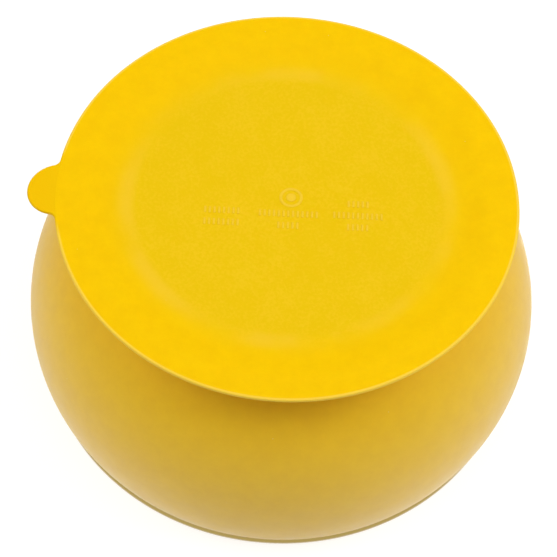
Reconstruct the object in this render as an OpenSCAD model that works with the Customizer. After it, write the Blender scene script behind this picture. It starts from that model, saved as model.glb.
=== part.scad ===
// Suction bowl: a deep, round feeding bowl of soft moulded rubber. Its foot is bonded into a wide,
// thin suction base, which grips the table until a small tab at its edge is lifted.
//
// Frame: millimetres, +Z up through the mouth. The origin is on the table, under the bowl's centre.
// The release tab points along +X. Everything else is turned about Z.
// The base is one moulding. It is split into four nodes where it flexes in use.

/* [Bowl] */
// Widest outside diameter, across the belly
bowl_d = 128; // [122:1:136]
// Height of the lip above the table
bowl_h = 64; // [62:0.5:68]
// Height of the widest part of the belly above the table
belly_z = 44.7; // [44:0.1:45.5]
// Radius of the belly's curve from foot to lip, seen from the side
belly_r = 42.7; // [42.2:0.1:44]
// Thickness of the wall
wall = 3; // [2.4:0.1:3.2]
// Height of the bowl's inside floor above the table
floor_z = 7; // [6.5:0.1:8]
// Radius of the hollow corner between the inside floor and the wall
floor_fillet = 20; // [12:1:24]
// Diameter of the foot, where the bowl stands on its base
foot_d = 76; // [72:1:78]

/* [Suction base] */
// Outside diameter of the sealing rim
base_d = 113; // [111:1:116]
// Inside diameter of the sealing rim, where the flexing part begins
rim_inner_d = 102; // [98:1:104]
// Diameter of the thick middle
hub_d = 80; // [79:0.5:84]
// Height of the hollow under the middle while nothing presses on the bowl
recess = 1.6; // [1.2:0.1:2]
// Thickness of the middle
hub_t = 2.8; // [2.6:0.1:3.2]
// Diameter of the socket that takes the bowl's spigot
socket_d = 62; // [56:1:66]
// Depth of the socket
socket_depth = 1.2; // [1:0.1:1.4]
// Thickness of the base at its outer edge
edge_t = 1; // [1:0.05:1.2]
// Thickness of the base where the sealing rim ends
rim_t = 1.3; // [1.2:0.1:1.6]
// Thickness of the flexing part where it joins the middle
membrane_t = 2.3; // [1.6:0.1:2.5]

/* [Release tab] */
// Width of the tab, across its round end
tab_w = 14.4; // [12:0.2:16]
// How far the tab stands out past the sealing rim
tab_reach = 6.7; // [5.5:0.1:6.9]
// Thickness of the tab
tab_t = 0.9; // [0.6:0.05:0.9]
// How far the tab is turned up at rest, in degrees
tab_tilt = 8; // [4:1:12]
// Radius of the hollow corners between the tab and the rim
tab_fillet = 2; // [1:0.1:2.5]

/* [Clearances] */
// Glue line around the bowl's spigot, on the radius
glue_gap = 0.05; // [0.02:0.01:0.1]
// Gap between parts of the base that move against each other
flex_gap = 0.25; // [0.2:0.05:0.3]

/* [Hidden] */
$fn = 180;
big = 200;                            // larger than any part, for cutting planes
bowl_r = bowl_d / 2;
base_r = base_d / 2;
hub_r = hub_d / 2;
rim_inner_r = rim_inner_d / 2;
socket_r = socket_d / 2;
foot_r = foot_d / 2;
belly_x = bowl_r - belly_r;           // radius at which the belly's curve is centred
belly_c = [belly_x, belly_z];
inner_r = belly_r - wall;
hub_top = recess + hub_t;
socket_z = hub_top - socket_depth;

// The lip is half a circle across the end of the wall. Its centre is on the wall's middle line.
lip_r = wall / 2;
lip_z = bowl_h - lip_r;
lip_angle = asin((lip_z - belly_z) / (belly_r - lip_r));
lip_c = belly_c + (belly_r - lip_r) * [cos(lip_angle), sin(lip_angle)];

// The floor's hollow corner touches the flat floor and the inside of the belly's curve.
fillet_z = floor_z + floor_fillet;
fillet_x = belly_x + sqrt(pow(inner_r - floor_fillet, 2) - pow(belly_z - fillet_z, 2));
fillet_c = [fillet_x, fillet_z];
fillet_touch = belly_c + inner_r * (fillet_c - belly_c) / norm(fillet_c - belly_c);

// The tab's corners touch the round edge of the rim and the round end of the tab.
tab_r = tab_w / 2;
tab_c = [base_r + tab_reach - tab_r, 0];
corner_x = (pow(tab_c.x, 2) + pow(base_r + tab_fillet, 2) - pow(tab_r + tab_fillet, 2)) / (2 * tab_c.x);
corner_c = [corner_x, sqrt(pow(base_r + tab_fillet, 2) - pow(corner_x, 2))];

silicone_yellow = [0.98, 0.79, 0.06];
base_yellow = [0.97, 0.75, 0.04];
tab_yellow = [0.95, 0.72, 0.03];

// Everything inside the belly's curve of radius r, flat below, as a half section
module belly_section(r) {
    translate(belly_c) circle(r);
    translate([0, belly_z - r]) square([belly_x, 2 * r]);
}

// Everything below the ray that runs from the belly's centre through the lip's centre
module below_lip() {
    reach = big * [cos(lip_angle), sin(lip_angle)];
    polygon([[0, 0], [big, 0], [big, belly_z], belly_c + reach, belly_c, [0, belly_z]]);
}

// The space that holds the food, as a half section
module hollow_section() {
    difference() {
        belly_section(inner_r);
        square([big, fillet_touch.y]);
    }
    translate(fillet_c) circle(floor_fillet);
    translate([0, floor_z]) square([fillet_x, floor_fillet]);
}

// The belly outside, cut flat where the foot stands on the base, as a half section
module belly_outside() {
    difference() {
        intersection() {
            belly_section(belly_r);
            below_lip();
        }
        square([big, hub_top]);
    }
}

// The bowl's wall, foot, spigot and lip, as a half section
module bowl_section() {
    difference() {
        union() {
            belly_outside();
            translate([0, hub_top]) square([foot_r, wall]);
            translate([0, socket_z]) square([socket_r - glue_gap, wall]);
        }
        hollow_section();
    }
    translate(lip_c) circle(lip_r);
}

// The bowl itself, one moulding from its foot to its rounded lip
module bowl_shell() {
    color(silicone_yellow)
    rotate_extrude()
    intersection() {
        bowl_section();
        square(big);
    }
}

// The thick middle of the base, with the socket that the bowl's foot is bonded into
module suction_hub() {
    color(base_yellow)
    difference() {
        translate([0, 0, recess]) cylinder(r = hub_r, h = hub_t);
        translate([0, 0, socket_z]) cylinder(r = socket_r, h = hub_t);
    }
}

// The part of the base that bends when the bowl is pressed down
module suction_membrane() {
    start = hub_r + flex_gap;
    color(base_yellow)
    rotate_extrude()
    polygon([
        [start, recess], [rim_inner_r, 0], [rim_inner_r, rim_t], [start, recess + membrane_t]
    ]);
}

// The flat ring that seals against the table
module sealing_rim() {
    color(base_yellow)
    rotate_extrude()
    polygon([[rim_inner_r, 0], [base_r, 0], [base_r, edge_t], [rim_inner_r, rim_t]]);
}

// Fills the corner between the rim and the tab on one side, up to the hollow corner's circle
module tab_corner() {
    on_rim = corner_c * base_r / norm(corner_c);
    on_tab = tab_c + tab_r * (corner_c - tab_c) / norm(corner_c - tab_c);
    difference() {
        polygon([[0, 0], tab_c, on_tab, corner_c, on_rim]);
        translate(corner_c) circle(tab_fillet);
    }
}

// The tab's outline, seen from above, up to the gap at the rim
module tab_outline() {
    difference() {
        union() {
            translate(tab_c) circle(tab_r);
            tab_corner();
            mirror([0, 1]) tab_corner();
        }
        circle(base_r + flex_gap);
    }
}

// The tab that a finger lifts to let air under the rim
module release_tab() {
    color(tab_yellow)
    translate([base_r, 0, edge_t])
    rotate([0, -tab_tilt, 0])
    translate([-base_r, 0, -tab_t])
    linear_extrude(tab_t)
    tab_outline();
}

bowl_shell();
suction_hub();
suction_membrane();
sealing_rim();
release_tab();
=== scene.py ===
"""Looks for the suction bowl: soft yellow silicone, seen from under its suction base.

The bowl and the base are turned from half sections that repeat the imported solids, with the small rounded
corners that the solids lack. The release tab and the moulded marks are built as meshes. Blender works in
metres, so a length is a number of millimetres times MM.
"""

import math

import bmesh
import bpy
from mathutils import Matrix, Vector


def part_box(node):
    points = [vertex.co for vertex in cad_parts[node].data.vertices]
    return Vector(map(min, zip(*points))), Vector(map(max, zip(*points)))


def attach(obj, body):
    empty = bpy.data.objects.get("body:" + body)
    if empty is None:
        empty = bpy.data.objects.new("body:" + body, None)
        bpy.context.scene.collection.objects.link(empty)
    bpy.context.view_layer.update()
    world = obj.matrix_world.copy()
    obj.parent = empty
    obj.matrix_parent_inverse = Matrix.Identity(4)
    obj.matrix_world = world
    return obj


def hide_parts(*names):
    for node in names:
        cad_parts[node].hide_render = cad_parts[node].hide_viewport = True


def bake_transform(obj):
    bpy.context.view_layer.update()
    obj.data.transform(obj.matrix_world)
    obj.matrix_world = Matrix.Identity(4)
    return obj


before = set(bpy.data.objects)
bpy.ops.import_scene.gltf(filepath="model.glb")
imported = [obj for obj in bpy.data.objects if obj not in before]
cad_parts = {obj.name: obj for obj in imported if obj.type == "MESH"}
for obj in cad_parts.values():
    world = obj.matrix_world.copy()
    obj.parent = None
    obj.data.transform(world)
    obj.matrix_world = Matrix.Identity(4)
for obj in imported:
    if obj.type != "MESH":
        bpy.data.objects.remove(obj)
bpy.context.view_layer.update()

MM = 0.001

# ---------------------------------------------------------------- sizes from the frame

_, bowl_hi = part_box("bowl_shell")
hub_lo, hub_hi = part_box("suction_hub")
_, membrane_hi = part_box("suction_membrane")
_, rim_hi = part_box("sealing_rim")
_, tab_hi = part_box("release_tab")

BOWL_R, BOWL_H = bowl_hi.y, bowl_hi.z
HUB_R, HUB_BOTTOM, HUB_TOP = hub_hi.y, hub_lo.z, hub_hi.z
RIM_IN, RIM_OUT, RIM_T = membrane_hi.y, rim_hi.y, rim_hi.z
TAB_TIP = tab_hi.x

# ---------------------------------------------------------------- shape of the bowl

BELLY_R = 42.7 * MM               # the belly's curve from foot to lip, seen from the side
BELLY_Z = 44.7 * MM               # height of its widest part
WALL = 3 * MM
FLOOR_Z = 7 * MM                  # height of the inside floor
FLOOR_FILLET = 20 * MM
FOOT_R = 38 * MM
FOOT_FILLET = 1 * MM
SPIGOT_R, SPIGOT_Z = 30.95 * MM, HUB_TOP - 1.2 * MM
PARTING_H = 0.03 * MM             # height of the mould line on the lip
PARTING_AT = 0.2                  # its place on the lip, from outside (0) to inside (1)

# ---------------------------------------------------------------- shape of the base

PANEL_R = 39.3 * MM               # the matted middle of the underside
PANEL_STEP = 0.18 * MM            # how much deeper it lies than the ring around it
PANEL_SLOPE = 3 * MM              # width of the soft step between them
PANEL_Z = HUB_BOTTOM + PANEL_STEP
EDGE_T = 1 * MM
EDGE_ROUND = 0.42 * MM            # rounding of the free edge of the rim and the tab
SHOULDER_ROUND = 0.6 * MM         # rounding of the thick middle's upper edge
SHOULDER_FOOT = 0.2 * MM          # how far past the thick middle its side slopes out
FLAT_PAST_HUB = 0.6 * MM          # how far past the thick middle its underside stays flat
GLUE_LINE = 0.05 * MM             # gap around the spigot in its socket

# ---------------------------------------------------------------- shape of the release tab

TAB_R = 7.2 * MM
TAB_T = 0.9 * MM
TAB_TILT = math.radians(8)
TAB_FILLET = 2 * MM
TAB_ROOT = RIM_OUT - 1.6 * MM     # where the tab's root lies in the rim
TAB_BEND = RIM_OUT - 0.1 * MM     # where it starts to follow the lifting tab
TAB_EASE = 0.6 * MM               # softness of the upward turn at rest
TAB_THINS = 2.2 * MM              # distance from the root over which it thins to TAB_T
TAB_SWELL = 0.01 * MM             # added to each of its faces
TAB_SINK = 0.03 * MM              # taken off each face at the root, to hide it in the rim
TAB_SINK_REACH = 1 * MM           # distance from the root over which that fades

# ---------------------------------------------------------------- marks under the base

MARK_H = 0.1 * MM                 # how far the moulded marks stand out
TICK_W, TICK_L = 0.55 * MM, 1.9 * MM
TICK_PITCH = 1.15 * MM
ROW_PITCH = 3.4 * MM
RING_R, RING_W = 2.5 * MM, 0.8 * MM
RING_SINK = 0.05                  # share of its height by which the ring's foot is sunk
DOT_R = 1.2 * MM
RING_PLACE = (-0.9 * MM, 1.9 * MM)
# Each group's centre along X, the Y of its first row, and how many ticks each row has
TICK_GROUPS = (
    (15.8 * MM, -2.7 * MM, (8, 8)),
    (-0.4 * MM, -2.9 * MM, (13, 5)),
    (-17.3 * MM, 0.8 * MM, (5, 11, 5)),
)
# A pad's side from foot to top: how far it is drawn in, and its height, both as shares
PAD_SIDE = ((0, -0.05), (0, 0.5), (0.12, 0.85), (0.3, 1))

TURN_STEPS = 240                  # flat facets around a turned piece
MERGE_WITHIN = 1e-7               # points this close are one point, in metres

# ---------------------------------------------------------------- outlines


def arc(centre, radius, start, end, count):
    """Points on an arc, both ends included. Angles are in degrees, from the first axis."""
    angles = [math.radians(start + (end - start) * i / count) for i in range(count + 1)]
    return [(centre[0] + radius * math.cos(a), centre[1] + radius * math.sin(a)) for a in angles]


def line(start, end, count):
    """Points from start to end, without the first."""
    return [
        tuple(s + (e - s) * i / count for s, e in zip(start, end))
        for i in range(1, count + 1)
    ]


def eased(start, end, count):
    """Points of a soft S curve from start to end, without the first."""
    shares = [i / count for i in range(1, count + 1)]
    return [
        (
            start[0] + (end[0] - start[0]) * t,
            start[1] + (end[1] - start[1]) * t * t * (3 - 2 * t),
        )
        for t in shares
    ]


def bowl_profile():
    """The bowl's half section: spigot, foot, belly outside, lip, inside, floor."""
    centre = (BOWL_R - BELLY_R, BELLY_Z)
    inner = BELLY_R - WALL
    lip_r = WALL / 2
    lip_angle = math.degrees(math.asin((BOWL_H - lip_r - BELLY_Z) / (BELLY_R - lip_r)))
    lip_centre = arc(centre, BELLY_R - lip_r, lip_angle, lip_angle, 1)[0]

    # The hollow corner under the belly touches the foot's side and the belly's curve.
    neck_x = FOOT_R + FOOT_FILLET
    neck_z = BELLY_Z - math.sqrt((BELLY_R + FOOT_FILLET) ** 2 - (neck_x - centre[0]) ** 2)
    neck_end = math.degrees(math.atan2(BELLY_Z - neck_z, centre[0] - neck_x))
    belly_start = neck_end - 180

    # The hollow corner inside touches the floor and the inside of the belly's curve.
    fillet_z = FLOOR_Z + FLOOR_FILLET
    fillet_x = centre[0] + math.sqrt((inner - FLOOR_FILLET) ** 2 - (BELLY_Z - fillet_z) ** 2)
    touch = math.degrees(math.atan2(fillet_z - BELLY_Z, fillet_x - centre[0]))

    points = [(0, SPIGOT_Z)]
    points += line(points[-1], (SPIGOT_R, SPIGOT_Z), 4)
    points += line(points[-1], (SPIGOT_R, HUB_TOP), 2)
    points += line(points[-1], (FOOT_R, HUB_TOP), 4)
    points += line(points[-1], (FOOT_R, neck_z), 2)
    points += arc((neck_x, neck_z), FOOT_FILLET, 180, neck_end, 8)[1:]
    points += arc(centre, BELLY_R, belly_start, lip_angle, 90)[1:]
    lip = arc(lip_centre, lip_r, lip_angle, lip_angle + 180, 40)[1:]
    points += with_parting_line(lip, lip_centre)
    points += arc(centre, inner, lip_angle, touch, 70)[1:]
    points += arc((fillet_x, fillet_z), FLOOR_FILLET, touch, -90, 24)[1:]
    points += line(points[-1], (0, FLOOR_Z), 12)
    return points


def with_parting_line(points, centre):
    """Raises the hair-thin line where the mould's halves meet, on the lip's outer side."""
    raised = []
    for i, (r, z) in enumerate(points):
        away = i - PARTING_AT * (len(points) - 1)
        grow = 1 + PARTING_H * math.exp(-(away**2)) / (WALL / 2)
        raised.append((centre[0] + (r - centre[0]) * grow, centre[1] + (z - centre[1]) * grow))
    return raised


def base_profile():
    """The suction base's half section: panel, ring that bends, rim, edge, top, socket."""
    edge_r = RIM_OUT - EDGE_ROUND
    shoulder_z = HUB_TOP - SHOULDER_ROUND
    socket_r = SPIGOT_R + GLUE_LINE

    points = [(0, PANEL_Z)]
    points += line(points[-1], (PANEL_R - PANEL_SLOPE, PANEL_Z), 24)
    points += eased(points[-1], (PANEL_R, HUB_BOTTOM), 10)
    points += line(points[-1], (HUB_R + FLAT_PAST_HUB, HUB_BOTTOM), 4)
    points += eased(points[-1], (RIM_IN, 0.0), 30)
    points += line(points[-1], (edge_r, 0.0), 8)
    points += arc((edge_r, EDGE_ROUND), EDGE_ROUND, -90, 0, 8)[1:]
    points += arc((edge_r, EDGE_T - EDGE_ROUND), EDGE_ROUND, 0, 90, 8)
    points += line(points[-1], (RIM_IN, RIM_T), 8)
    points += eased(points[-1], (HUB_R + SHOULDER_FOOT, shoulder_z), 24)
    points += arc((HUB_R - SHOULDER_ROUND, shoulder_z), SHOULDER_ROUND, 0, 90, 8)
    points += line(points[-1], (socket_r, HUB_TOP), 4)
    points += line(points[-1], (socket_r, SPIGOT_Z), 2)
    points += line(points[-1], (0, SPIGOT_Z), 4)
    return points


# ---------------------------------------------------------------- from outlines to pieces


def revolved(name, profile, material):
    """A closed solid turned about Z from a half section that starts and ends on the axis.

    The turning stays a modifier, so that a blend on the half section bends the piece all round.
    """
    mesh = bpy.data.meshes.new(name)
    edges = [(i, i + 1) for i in range(len(profile) - 1)]
    mesh.from_pydata([(r, 0, z) for r, z in profile], edges, [])
    mesh.materials.append(material)
    piece = bpy.data.objects.new(name, mesh)
    bpy.context.scene.collection.objects.link(piece)
    screw = piece.modifiers.new("turn", "SCREW")
    screw.axis = "Z"
    screw.angle = 2 * math.pi
    screw.steps = screw.render_steps = TURN_STEPS
    screw.use_merge_vertices = True
    screw.merge_threshold = MERGE_WITHIN
    screw.use_smooth_shade = True
    screw.use_normal_calculate = True
    return piece


def finished(name, bm, material):
    """Turns mesh code's result into a smooth-shaded piece."""
    bmesh.ops.recalc_face_normals(bm, faces=bm.faces)
    mesh = bpy.data.meshes.new(name)
    bm.to_mesh(mesh)
    bm.free()
    mesh.materials.append(material)
    mesh.polygons.foreach_set("use_smooth", [True] * len(mesh.polygons))
    piece = bpy.data.objects.new(name, mesh)
    bpy.context.scene.collection.objects.link(piece)
    return piece


# ---------------------------------------------------------------- the release tab


def tab_outline():
    """The tab's free edge in plan, from one hollow corner at the rim to the other."""
    centre = (TAB_TIP - TAB_R, 0)
    reach, spread = RIM_OUT + TAB_FILLET, TAB_R + TAB_FILLET
    corner_x = (centre[0] ** 2 + reach**2 - spread**2) / (2 * centre[0])
    corner = (corner_x, math.sqrt(reach**2 - corner_x**2))
    to_rim = math.degrees(math.atan2(-corner[1], -corner[0])) + 360
    to_tab = math.degrees(math.atan2(-corner[1], centre[0] - corner[0])) + 360
    half = arc(corner, TAB_FILLET, to_rim, to_tab, 14)
    half += arc(centre, TAB_R, to_tab - 180, 0, 30)[1:]
    return half + [(x, -y) for x, y in reversed(half[:-1])]


def tab_middle(x, y):
    """Height of the tab's middle surface, which turns up gently past the rim."""
    out = max(0.0, math.hypot(x, y) - TAB_BEND)
    return EDGE_T / 2 + math.tan(TAB_TILT) * out * out / (out + TAB_EASE)


def tab_half_thickness(x, y, to_edge):
    """Half the tab's thickness: rounded at its free edge, sunk into the rim at its root."""
    out = math.hypot(x, y) - TAB_ROOT
    thinned = min(1.0, max(0.0, out / TAB_THINS))
    half = (EDGE_T + (TAB_T - EDGE_T) * thinned) / 2
    sunk = TAB_SINK * max(0.0, 1 - out / TAB_SINK_REACH)
    if to_edge < EDGE_ROUND:
        half -= EDGE_ROUND - math.sqrt(EDGE_ROUND**2 - (EDGE_ROUND - to_edge) ** 2)
    return half + TAB_SWELL - sunk


def tab_depths(length):
    """Distances from the free edge inwards, close together where the edge is rounded."""
    turns = [math.radians(90 * k / 8) for k in range(9)]
    rounded = [EDGE_ROUND * (1 - math.cos(a)) for a in turns]
    steps = 24
    rest = [EDGE_ROUND + (length - EDGE_ROUND) * k / steps for k in range(1, steps + 1)]
    return rounded + rest


def tab_columns(bm):
    """The tab's upper and lower points. Each column runs from the free edge to the root."""
    outline = tab_outline()
    half_angle = math.atan2(outline[0][1], outline[0][0])
    top, bottom = [], []
    for i, (x, y) in enumerate(outline):
        turn = half_angle * (1 - 2 * i / (len(outline) - 1))
        root = Vector((TAB_ROOT * math.cos(turn), TAB_ROOT * math.sin(turn)))
        edge = Vector((x, y))
        inward = (root - edge).normalized()
        depths = tab_depths((root - edge).length)
        for side, grid in ((1, top), (-1, bottom)):
            grid.append([])
            for depth in depths:
                p = edge + inward * depth
                z = tab_middle(*p) + side * tab_half_thickness(p.x, p.y, depth)
                grid[-1].append(bm.verts.new((p.x, p.y, z)))
    return top, bottom


def release_tab(material):
    """The tab as a closed solid, with its root inside the rim."""
    bm = bmesh.new()
    top, bottom = tab_columns(bm)
    columns, last = len(top), len(top[0]) - 1
    for i in range(columns - 1):
        for k in range(last):
            bm.faces.new((top[i][k], top[i][k + 1], top[i + 1][k + 1], top[i + 1][k]))
            bm.faces.new((bottom[i][k], bottom[i + 1][k], bottom[i + 1][k + 1], bottom[i][k + 1]))
        bm.faces.new((top[i][0], top[i + 1][0], bottom[i + 1][0], bottom[i][0]))
        bm.faces.new((top[i][last], bottom[i][last], bottom[i + 1][last], top[i + 1][last]))
    for i in (0, columns - 1):
        for k in range(last):
            bm.faces.new((top[i][k], bottom[i][k], bottom[i][k + 1], top[i][k + 1]))
    return finished("release_tab_soft", bm, material)


# ---------------------------------------------------------------- marks under the base


def pad(bm, outline):
    """A low closed pad on the panel. Its outline is a function of how far it is drawn in."""
    levels = []
    for inset, height in PAD_SIDE:
        z = PANEL_Z - MARK_H * height
        levels.append([bm.verts.new((x, y, z)) for x, y in outline(inset)])
    count = len(levels[0])
    for low, high in zip(levels, levels[1:]):
        for i in range(count):
            j = (i + 1) % count
            bm.faces.new((low[i], low[j], high[j], high[i]))
    bm.faces.new(levels[0])
    bm.faces.new(levels[-1])


def tick(bm, x, y):
    """A plain upright tick with round ends."""

    def outline(inset):
        r = TICK_W / 2 * (1 - inset)
        reach = (TICK_L - TICK_W) / 2
        return arc((x, y + reach), r, 0, 180, 8) + arc((x, y - reach), r, 180, 360, 8)

    pad(bm, outline)


def dot(bm, x, y):
    """A plain round dot."""
    pad(bm, lambda inset: arc((x, y), DOT_R - inset * RING_W / 2, 0, 360, 32)[:-1])


def ring(bm, x, y):
    """A plain raised ring, half round across."""
    across, around = 8, 48
    grid = []
    for i in range(around):
        a = 2 * math.pi * i / around
        grid.append([])
        for k in range(across + 1):
            b = math.pi * k / across
            r = RING_R + RING_W / 2 * math.cos(b)
            z = PANEL_Z + RING_SINK * MARK_H - MARK_H * math.sin(b)
            grid[-1].append(bm.verts.new((x + r * math.cos(a), y + r * math.sin(a), z)))
    for i in range(around):
        j = (i + 1) % around
        for k in range(across):
            bm.faces.new((grid[i][k], grid[j][k], grid[j][k + 1], grid[i][k + 1]))
        bm.faces.new((grid[i][across], grid[j][across], grid[j][0], grid[i][0]))


def rows_of_ticks(bm, x, first_y, counts):
    """Rows of ticks one below the other, each centred on x."""
    for row, count in enumerate(counts):
        for i in range(count):
            tick(bm, x + (i - (count - 1) / 2) * TICK_PITCH, first_y - row * ROW_PITCH)


def base_marks(material):
    """Three plain groups of ticks and a ring, where moulded bases carry their information."""
    bm = bmesh.new()
    for x, first_y, counts in TICK_GROUPS:
        rows_of_ticks(bm, x, first_y, counts)
    ring(bm, *RING_PLACE)
    dot(bm, *RING_PLACE)
    return finished("base_marks", bm, material)


# ---------------------------------------------------------------- colours and the silicone's finish

SILICONE = (0.908, 0.559, 0.001)          # the bowl and the base: lighter and deeper mottling
SILICONE_DEEP = (0.868, 0.522, 0.001)
SILICONE_TAB_SHADE = (0.862, 0.514, 0.001)     # painted shade: the tab's deeper mottling, for the shade on its thin tilted flap
SILICONE_CHALK_AND_SHADE = (0.800, 0.518, 0.003)   # partly the panel's chalky finish, partly painted shade and sheen: its darker and paler spots
SILICONE_BLOOM_AND_SHEEN = (0.836, 0.538, 0.010)
SILICONE_RING_HIGHLIGHT = (0.868, 0.552, 0.030)     # painted highlight: pale patches in a ring around the panel, where its soft step catches the light
SILICONE_MARK_HIGHLIGHT = (0.884, 0.562, 0.033)   # painted highlight on the tops of the raised marks
SILICONE_EDGE_HIGHLIGHT = (0.920, 0.620, 0.060)     # painted highlight along the rim's free edge
SILICONE_INSIDE = (0.875, 0.625, 0.008)   # the hollow
SHEEN_TINT = (1, 0.92, 0.84, 1)
DUST = (0.93, 0.80, 0.42)
WHITE = (1, 1, 1)

BOWL_GRAIN, BASE_GRAIN = 0.32 * MM, 0.22 * MM
BUMP_DEPTH = 0.04 * MM
MOTTLE_SIZE = 5 * MM                      # soft changes of tone
SHINE_SIZE = 4 * MM                       # soft changes of roughness
SOFT_SPREAD = (0.3, 0.7)                  # values of that noise that count as none and as all
DULL_LOW, DULL_HIGH = 0.46, 0.56          # the roughness that it runs between
DUST_SPACING, DUST_R = 5.5 * MM, 0.11 * MM
DUST_SHARE = 0.5                          # how many of the places for a speck hold one
DUST_COVER = 0.55                         # how much of the silicone's colour a speck hides
DUST_DULLER = 0.3                         # added roughness on a speck

CHALK_FULL = PANEL_R - 4 * MM             # the panel's finish fades out over these radii
CHALK_GONE = PANEL_R + 6.5 * MM
PANEL_GRAIN = 0.45 * MM
PANEL_RELIEF = 1.2                        # its height, as a share of the base's own grain
PANEL_DULLER = 0.12                       # added roughness on the panel
CLOUD_SIZE, SPECKLE_SIZE = 8 * MM, 0.8 * MM
SPECKLE_SPREAD = (0.36, 0.66)
SPECKLE_SHARE = 0.35                      # how much the speckle adds to the clouds
BLOOM_SPREAD = (0.5, 0.95)

# Radii where the ring of painted highlight starts, is fully there, starts to fade and ends
HIGHLIGHT_RING_RADII = (PANEL_R - 3 * MM, PANEL_R - 0.5 * MM, PANEL_R, PANEL_R + 3.5 * MM)
PATCH_SIZE = 22 * MM
PATCH_SPREAD = (0.35, 0.65)
HIGHLIGHT_RING_MOST = 0.55                          # how bright the ring's strongest patches of painted highlight are

EDGE_HIGHLIGHT_WIDTH = 0.8 * MM                      # width of the painted highlight along the rim's free edge
EDGE_HIGHLIGHT_FADE = 0.3 * MM
CLEAR_OF_TAB = (9 * MM, 14 * MM)          # distances from the tab's root over which it comes in
MARK_FOOT_HIGHLIGHT = 0.4                         # how much painted highlight the foot of a mark gets, against its top

# ---------------------------------------------------------------- shader nodes


def node(tree, kind, **settings):
    """A shader node with its properties set."""
    made = tree.nodes.new(kind)
    for name, value in settings.items():
        setattr(made, name, value)
    return made


def math_node(tree, operation, first, second=None, third=None):
    """One step of arithmetic. Each value is a plain number or a socket."""
    made = node(tree, "ShaderNodeMath", operation=operation)
    for i, value in enumerate((first, second, third)):
        if value is None:
            continue
        if isinstance(value, (int, float)):
            made.inputs[i].default_value = value
        else:
            tree.links.new(value, made.inputs[i])
    return made.outputs[0]


def noise(tree, coordinates, size, detail=2.0, roughness=0.5):
    """Noise whose features are about size metres wide, from 0 to 1."""
    made = node(tree, "ShaderNodeTexNoise")
    made.inputs["Scale"].default_value = 1 / size
    made.inputs["Detail"].default_value = detail
    made.inputs["Roughness"].default_value = roughness
    tree.links.new(coordinates, made.inputs["Vector"])
    return made.outputs["Fac"]


def mapped(tree, value, low, high, out_low, out_high):
    """A smooth step: out_low up to the value low, out_high from the value high on."""
    made = node(tree, "ShaderNodeMapRange", interpolation_type="SMOOTHSTEP")
    tree.links.new(value, made.inputs["Value"])
    made.inputs["From Min"].default_value = low
    made.inputs["From Max"].default_value = high
    made.inputs["To Min"].default_value = out_low
    made.inputs["To Max"].default_value = out_high
    return made.outputs["Result"]


def mixed(tree, factor, first, second):
    """A colour between two colours. Each is a plain colour or a socket."""
    made = node(tree, "ShaderNodeMix", data_type="RGBA")
    tree.links.new(factor, made.inputs["Factor"])
    for value, socket in ((first, made.inputs[6]), (second, made.inputs[7])):
        if isinstance(value, bpy.types.NodeSocket):
            tree.links.new(value, socket)
        else:
            socket.default_value = (*value, 1)
    return made.outputs[2]


def feed(tree, socket, change):
    """Puts change between a socket and what feeds it."""
    source = socket.links[0].from_socket
    tree.links.new(change(source), socket)


def height_above_table(tree):
    """Height in metres, read from the piece's own coordinates."""
    parts = node(tree, "ShaderNodeSeparateXYZ")
    tree.links.new(node(tree, "ShaderNodeTexCoord").outputs["Object"], parts.inputs[0])
    return parts.outputs[2]


def radius_from_axis(tree):
    """A point's place, and its distance from the bowl's axis in metres."""
    place = node(tree, "ShaderNodeTexCoord").outputs["Object"]
    flat = node(tree, "ShaderNodeVectorMath", operation="MULTIPLY")
    flat.inputs[1].default_value = (1, 1, 0)
    tree.links.new(place, flat.inputs[0])
    length = node(tree, "ShaderNodeVectorMath", operation="LENGTH")
    tree.links.new(flat.outputs[0], length.inputs[0])
    return place, length.outputs["Value"]


# ---------------------------------------------------------------- materials


def dust(tree, coordinates, spacing, radius, share):
    """Specks of dust: 1 on a speck and 0 elsewhere."""
    cells = node(tree, "ShaderNodeTexVoronoi")
    cells.inputs["Scale"].default_value = 1 / spacing
    tree.links.new(coordinates, cells.inputs["Vector"])
    near = math_node(tree, "LESS_THAN", cells.outputs["Distance"], radius / spacing)
    tone = node(tree, "ShaderNodeSeparateColor")
    tree.links.new(cells.outputs["Color"], tone.inputs[0])
    chosen = math_node(tree, "LESS_THAN", tone.outputs[0], share)
    return math_node(tree, "MULTIPLY", near, chosen)


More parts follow.
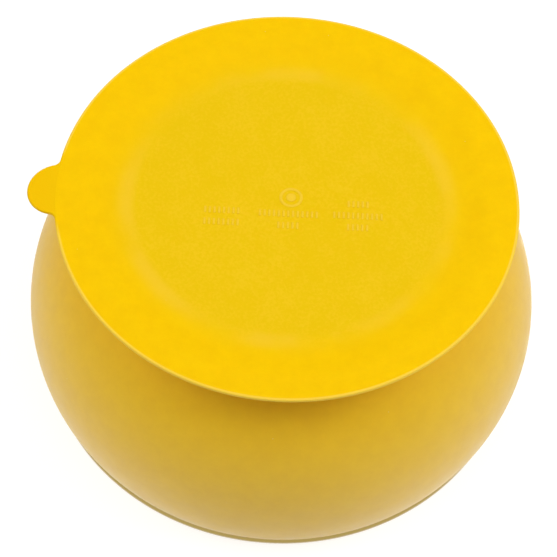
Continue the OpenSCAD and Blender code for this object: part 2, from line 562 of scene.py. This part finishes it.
def silicone(name, grain, bump, gloss, sheen, tones=(SILICONE, SILICONE_DEEP)):
    """Moulded silicone rubber: fine matte grain, soft mottling, a few specks of dust."""
    material = bpy.data.materials.new(name)
    material.use_nodes = True
    tree = material.node_tree
    shader = tree.nodes["Principled BSDF"]
    place = node(tree, "ShaderNodeTexCoord").outputs["Object"]

    mottle = noise(tree, place, MOTTLE_SIZE, detail=6, roughness=0.75)
    colour = mixed(tree, mapped(tree, mottle, *SOFT_SPREAD, 0, 1), *tones)
    shine = noise(tree, place, SHINE_SIZE, detail=4)
    roughness = mapped(tree, shine, *SOFT_SPREAD, DULL_LOW, DULL_HIGH)
    height = noise(tree, place, grain, detail=3, roughness=0.6)
    specks = dust(tree, place, DUST_SPACING, DUST_R, DUST_SHARE)
    colour = mixed(tree, math_node(tree, "MULTIPLY", specks, DUST_COVER), colour, DUST)
    roughness = math_node(tree, "MULTIPLY_ADD", specks, DUST_DULLER, roughness)

    relief = node(tree, "ShaderNodeBump", name="grain")
    relief.inputs["Strength"].default_value = bump
    relief.inputs["Distance"].default_value = BUMP_DEPTH
    tree.links.new(height, relief.inputs["Height"])
    tree.links.new(relief.outputs[0], shader.inputs["Normal"])
    tree.links.new(colour, shader.inputs["Base Color"])
    tree.links.new(roughness, shader.inputs["Roughness"])
    shader.inputs["IOR"].default_value = 1.41
    shader.inputs["Specular IOR Level"].default_value = gloss
    shader.inputs["Sheen Weight"].default_value = sheen
    shader.inputs["Sheen Roughness"].default_value = 0.55
    shader.inputs["Sheen Tint"].default_value = SHEEN_TINT
    shader.inputs["Subsurface Weight"].default_value = 0.1
    shader.inputs["Subsurface Radius"].default_value = (1.0, 0.45, 0.05)
    shader.inputs["Subsurface Scale"].default_value = 0.8 * MM
    return material


def lighter_inside(material):
    """The hollow is a little lighter, because light that bounces about in it deepens its colour."""
    tree = material.node_tree
    _, radius = radius_from_axis(tree)
    out = math_node(tree, "SUBTRACT", radius, BOWL_R - BELLY_R)
    out = math_node(tree, "MAXIMUM", out, 0.0)
    up = math_node(tree, "SUBTRACT", height_above_table(tree), BELLY_Z)
    squares = math_node(tree, "MULTIPLY", out, out)
    squares = math_node(tree, "MULTIPLY_ADD", up, up, squares)
    from_belly_centre = math_node(tree, "SQRT", squares)
    middle = BELLY_R - WALL / 2
    inside = mapped(tree, from_belly_centre, middle - WALL / 4, middle + WALL / 4, 1, 0)
    feed(
        tree,
        tree.nodes["Principled BSDF"].inputs["Base Color"],
        lambda source: mixed(tree, inside, source, SILICONE_INSIDE),
    )


def clear_of_tab(tree, place):
    """0 where the tab joins the rim, rising to 1 some way to either side of it."""
    to_tab = node(tree, "ShaderNodeVectorMath", operation="DISTANCE")
    tree.links.new(place, to_tab.inputs[0])
    to_tab.inputs[1].default_value = (RIM_OUT, 0, 0)
    return mapped(tree, to_tab.outputs["Value"], *CLEAR_OF_TAB, 0, 1)


def chalk_shade_and_sheen_tone(tree, place):
    """The panel's colour, partly a chalky finish and partly painted shade and sheen: soft clouds with a
    finer speckle in them.
    """
    cloud = noise(tree, place, CLOUD_SIZE, detail=6, roughness=0.75)
    speckle = noise(tree, place, SPECKLE_SIZE, detail=3, roughness=0.7)
    speckle = mapped(tree, speckle, *SPECKLE_SPREAD, 0, 1)
    bloom_and_sheen = math_node(tree, "MULTIPLY_ADD", speckle, SPECKLE_SHARE, cloud)
    bloom_and_sheen = mapped(tree, bloom_and_sheen, *BLOOM_SPREAD, 0, 1)
    return mixed(tree, bloom_and_sheen, SILICONE_CHALK_AND_SHADE, SILICONE_BLOOM_AND_SHEEN)


def painted_ring_highlight(tree, place, radius):
    """How much painted highlight a point gets: patches in a ring along the panel's edge, where its soft
    step catches the light.
    """
    rising = mapped(tree, radius, *HIGHLIGHT_RING_RADII[:2], 0, 1)
    falling = mapped(tree, radius, *HIGHLIGHT_RING_RADII[2:], 1, 0)
    patches = noise(tree, place, PATCH_SIZE, detail=4)
    patches = mapped(tree, patches, *PATCH_SPREAD, 0, HIGHLIGHT_RING_MOST)
    return math_node(tree, "MULTIPLY", math_node(tree, "MULTIPLY", rising, falling), patches)


def matte_panel(material):
    """The panel's coarser, duller finish with partly painted shade and sheen, a ring of painted highlight
    around it and a painted highlight on the rim's edge.
    """
    tree = material.node_tree
    shader = tree.nodes["Principled BSDF"]
    place, radius = radius_from_axis(tree)
    panel = mapped(tree, radius, CHALK_FULL, CHALK_GONE, 1, 0)
    # partly painted shade and sheen in the panel's tone
    chalk_shade_and_sheen = chalk_shade_and_sheen_tone(tree, place)
    # painted highlight in a patchy ring around the panel
    ring_highlight = painted_ring_highlight(tree, place, radius)
    # painted highlight along the rim's free edge, fading out near the tab
    highlight_from = RIM_OUT - EDGE_HIGHLIGHT_WIDTH
    edge = mapped(tree, radius, highlight_from, highlight_from + EDGE_HIGHLIGHT_FADE, 0, 1)
    edge = math_node(tree, "MULTIPLY", edge, clear_of_tab(tree, place))

    def tinted(source):
        colour = mixed(tree, panel, source, chalk_shade_and_sheen)
        colour = mixed(tree, ring_highlight, colour, SILICONE_RING_HIGHLIGHT)
        return mixed(tree, edge, colour, SILICONE_EDGE_HIGHLIGHT)

    feed(tree, shader.inputs["Base Color"], tinted)
    feed(
        tree,
        shader.inputs["Roughness"],
        lambda source: math_node(tree, "MULTIPLY_ADD", panel, PANEL_DULLER, source),
    )
    coarse = noise(tree, place, PANEL_GRAIN, detail=3, roughness=0.7)
    coarse = math_node(tree, "MULTIPLY", coarse, panel)
    feed(
        tree,
        tree.nodes["grain"].inputs["Height"],
        lambda source: math_node(tree, "MULTIPLY_ADD", coarse, PANEL_RELIEF, source),
    )


def highlighted_mark_tops(material):
    """Painted highlight: the tops of the raised marks are painted paler than their sides."""
    tree = material.node_tree
    height = height_above_table(tree)
    # painted highlight, strongest on the marks' tops
    top_highlight = mapped(tree, height, PANEL_Z - MARK_H, PANEL_Z, 1, MARK_FOOT_HIGHLIGHT)
    feed(
        tree,
        tree.nodes["Principled BSDF"].inputs["Base Color"],
        lambda source: mixed(tree, top_highlight, source, SILICONE_MARK_HIGHLIGHT),
    )


# ---------------------------------------------------------------- camera

VIEW_AZIMUTH = math.radians(0.7)
VIEW_ELEVATION = math.radians(-57.1)      # from below, towards the suction base
VIEW_ROLL = math.radians(3.35)
VIEW_DISTANCE = 0.7
VIEW_LENS = 178.6                         # in millimetres, as Blender takes it
NEAREST_SEEN = 0.02
AIM_HEIGHT = 35 * MM                      # the aim is beside this point on the bowl's axis
AIM_RIGHT, AIM_UP = -1.05 * MM, -0.16 * MM


def photo_camera():
    """Looks up at the suction base, with the bowl's mouth pointing away and down the picture."""
    a, e = VIEW_AZIMUTH, VIEW_ELEVATION
    back = Vector((math.sin(a) * math.cos(e), -math.cos(a) * math.cos(e), math.sin(e)))
    right = Vector((-math.cos(a), -math.sin(a), 0))
    up = back.cross(right)
    right, up = (
        right * math.cos(VIEW_ROLL) + up * math.sin(VIEW_ROLL),
        up * math.cos(VIEW_ROLL) - right * math.sin(VIEW_ROLL),
    )
    aim = Vector((0, 0, AIM_HEIGHT)) + AIM_RIGHT * right + AIM_UP * up
    data = bpy.data.cameras.new("camera")
    data.lens = VIEW_LENS
    data.clip_start = NEAREST_SEEN
    camera = bpy.data.objects.new("camera", data)
    axes = Matrix((right, up, back)).transposed()
    camera.matrix_world = Matrix.Translation(aim + back * VIEW_DISTANCE) @ axes.to_4x4()
    bpy.context.scene.collection.objects.link(camera)
    bpy.context.scene.camera = camera


# ---------------------------------------------------------------- light

# Each softbox's name, place and width in metres, and power in watts
SOFTBOXES = (
    ("light_over_base", (0, -0.1, -1), 0.5, 0.9),
    ("light_beside_tab", (0.9, 0, -0.8), 0.7, 5.7),
    ("light_facing_tab", (-0.9, 0, -0.8), 0.7, 7.7),
    ("light_over_mouth", (-0.1, 0.9, 0.8), 0.8, 7.5),
)
SOFTBOX_AIM = Vector((0, 0, 30 * MM))

# The surroundings are four even bands. The lowest has this brightness. Each of the others has its
# start, from -1, straight down, to 1, straight up, and its brightness.
SKY_LOWEST = 0.6
SKY_BANDS = ((-0.5, 0), (0, 0.68), (0.5, 1.15))
SKY_FADE = 0.1                            # how far a band fades to either side of its start


def softbox(name, place, size, watts):
    """A square light that points at the bowl."""
    data = bpy.data.lights.new(name, "AREA")
    data.size = size
    data.energy = watts
    lamp = bpy.data.objects.new(name, data)
    lamp.location = place
    lamp.rotation_euler = (SOFTBOX_AIM - Vector(place)).to_track_quat("-Z", "Y").to_euler()
    bpy.context.scene.collection.objects.link(lamp)


def grey(level):
    """A neutral tone."""
    return (level, level, level)


def sky():
    """Plain surroundings, brightest over the mouth and dark beside the base.

    They light the bowl by these bands, while the camera itself sees white behind it.
    """
    world = bpy.data.worlds.new("surroundings")
    bpy.context.scene.world = world
    world.use_nodes = True
    tree = world.node_tree
    direction = node(tree, "ShaderNodeTexCoord").outputs["Generated"]
    parts = node(tree, "ShaderNodeSeparateXYZ")
    tree.links.new(direction, parts.inputs[0])
    colour = grey(SKY_LOWEST)
    for start, level in SKY_BANDS:
        above = mapped(tree, parts.outputs[2], start - SKY_FADE, start + SKY_FADE, 0, 1)
        colour = mixed(tree, above, colour, grey(level))
    seen = node(tree, "ShaderNodeLightPath").outputs["Is Camera Ray"]
    colour = mixed(tree, seen, colour, WHITE)
    tree.links.new(colour, tree.nodes["Background"].inputs["Color"])


# ---------------------------------------------------------------- floor and table

STAGE_GAP = 0.2 * MM                      # keeps the stage off the faces that rest on it
FLOOR_HALF, TABLE_HALF = 5, 0.3           # half their widths, in metres
CONTACT_RAYS = 16
# Contact shadows: their reach, how open the darkest and the clearest spots are, and their tone
FLOOR_SHADE = {"reach": 30 * MM, "openness": (0.25, 0.95), "tone": (0.42, 0.37, 0.27)}
TABLE_SHADE = {"reach": 1.2 * MM, "openness": (0.7, 0.98), "tone": (0.42, 0.32, 0.11)}


def stage_material(name, lit, glow, reach, openness, tone):
    """Pale and matte on its front, clear on its back, so that it hides nothing behind it.

    lit is how much it takes from the lights and glow how much it gives off by itself. Within
    reach of something that stands on it, a contact shadow gives it a darker tone. The shadow
    runs between two degrees of openness, from full to none.
    """
    material = bpy.data.materials.new(name)
    material.use_nodes = True
    tree = material.node_tree
    shader = tree.nodes["Principled BSDF"]
    contact = node(tree, "ShaderNodeAmbientOcclusion", samples=CONTACT_RAYS)
    contact.inputs["Distance"].default_value = reach
    open_share = mapped(tree, contact.outputs["AO"], *openness, 0, 1)
    shade = mixed(tree, open_share, tone, WHITE)
    own = mixed(tree, open_share, tuple(level * lit for level in tone), grey(lit))
    tree.links.new(own, shader.inputs["Base Color"])
    tree.links.new(shade, shader.inputs["Emission Color"])
    shader.inputs["Roughness"].default_value = 0.9
    shader.inputs["Specular IOR Level"].default_value = 0
    shader.inputs["Emission Strength"].default_value = glow
    clear = node(tree, "ShaderNodeBsdfTransparent")
    choice = node(tree, "ShaderNodeMixShader")
    tree.links.new(node(tree, "ShaderNodeNewGeometry").outputs["Backfacing"], choice.inputs[0])
    tree.links.new(shader.outputs[0], choice.inputs[1])
    tree.links.new(clear.outputs[0], choice.inputs[2])
    tree.links.new(choice.outputs[0], tree.nodes["Material Output"].inputs["Surface"])
    return material


def stage_plane(name, height, half, faces_up, material):
    """A flat square that the camera sees and that sends no light back to the bowl."""
    corners = [(-half, -half), (half, -half), (half, half), (-half, half)]
    if not faces_up:
        corners.reverse()
    mesh = bpy.data.meshes.new(name)
    mesh.from_pydata([(x, y, height) for x, y in corners], [], [(0, 1, 2, 3)])
    mesh.materials.append(material)
    plane = bpy.data.objects.new(name, mesh)
    bpy.context.scene.collection.objects.link(plane)
    for ray in ("shadow", "diffuse", "glossy", "transmission", "volume_scatter"):
        setattr(plane, f"visible_{ray}", False)


# ---------------------------------------------------------------- put it together

BASE_FINISH = {"grain": BASE_GRAIN, "bump": 0.35, "gloss": 0.04, "sheen": 0.0}

bowl_material = silicone("bowl_silicone", grain=BOWL_GRAIN, bump=0.8, gloss=0.22, sheen=0.46)
lighter_inside(bowl_material)
base_material = silicone("base_silicone", **BASE_FINISH)
matte_panel(base_material)
# painted shade: the tab takes deeper tones than the rest of the base
tab_material = silicone("tab_silicone", **BASE_FINISH, tones=(SILICONE_DEEP, SILICONE_TAB_SHADE))
mark_material = silicone("mark_silicone", **BASE_FINISH)
highlighted_mark_tops(mark_material)

bowl = revolved("bowl_soft", bowl_profile(), bowl_material)
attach(bowl, "bowl")
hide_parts("bowl_shell")

# The base bends between its rim, which stays on the table, and its middle, which the bowl presses down.
base = revolved("suction_base_soft", base_profile(), base_material)
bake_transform(base)
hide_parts("suction_hub", "suction_membrane", "sealing_rim")

# The tab bends at its root, over the first 2 mm past the rim.
tab = release_tab(tab_material)
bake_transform(tab)
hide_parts("release_tab")

marks = base_marks(mark_material)
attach(marks, "bowl")

floor_white = stage_material("floor_white", lit=0.45, glow=0.6, **FLOOR_SHADE)
table_white = stage_material("table_white", lit=0.3, glow=0.8, **TABLE_SHADE)
stage_plane("floor", -STAGE_GAP, FLOOR_HALF, True, floor_white)
stage_plane("table_at_lip", BOWL_H + STAGE_GAP, TABLE_HALF, False, table_white)
sky()
for light in SOFTBOXES:
    softbox(*light)
photo_camera()
bpy.context.scene.view_settings.view_transform = "Standard"
